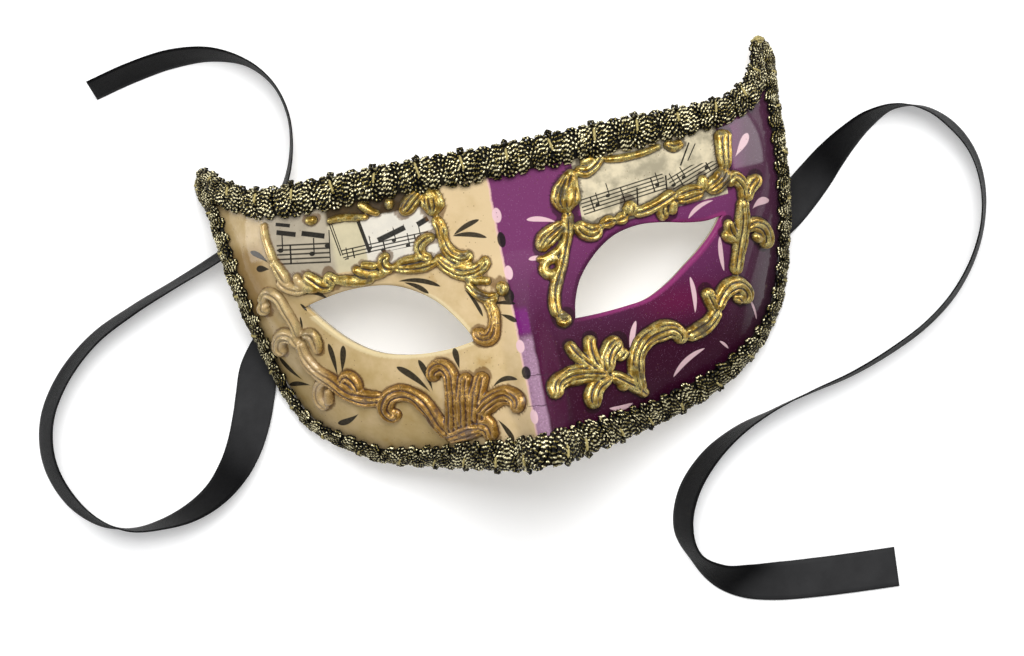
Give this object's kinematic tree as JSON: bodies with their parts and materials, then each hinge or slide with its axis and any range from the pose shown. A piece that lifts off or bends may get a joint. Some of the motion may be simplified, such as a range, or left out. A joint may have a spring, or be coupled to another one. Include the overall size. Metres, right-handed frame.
{
  "type": "venetian mask",
  "caption": "Half mask for brow, eyes and nose: a thin moulded paper shell with raised gilt scrolls, a braid edge and tie ribbons, lying face up.",
  "frame": {"origin": "on the table, under the middle of the mask's box, measured without its ribbons", "axes": "+X across the face to the viewer's right, +Y up the face to the forehead, +Z out of the face, up from the table"},
  "size_m": [0.2968, 0.2012, 0.0639],
  "materials": {
    "papier_mache": "painted ivory and purple, raised scrolls gilded, all varnished",
    "metal_braid": "gimp braid of dark gunmetal and pale gold metal thread",
    "satin": "black satin ribbon, soft sheen"
  },
  "bodies": {
    "root": {"mask_shell": "papier_mache", "braid_top": "metal_braid", "braid_lower": "metal_braid", "ribbon_left": "satin", "ribbon_right": "satin"}
  },
  "joints": []
}
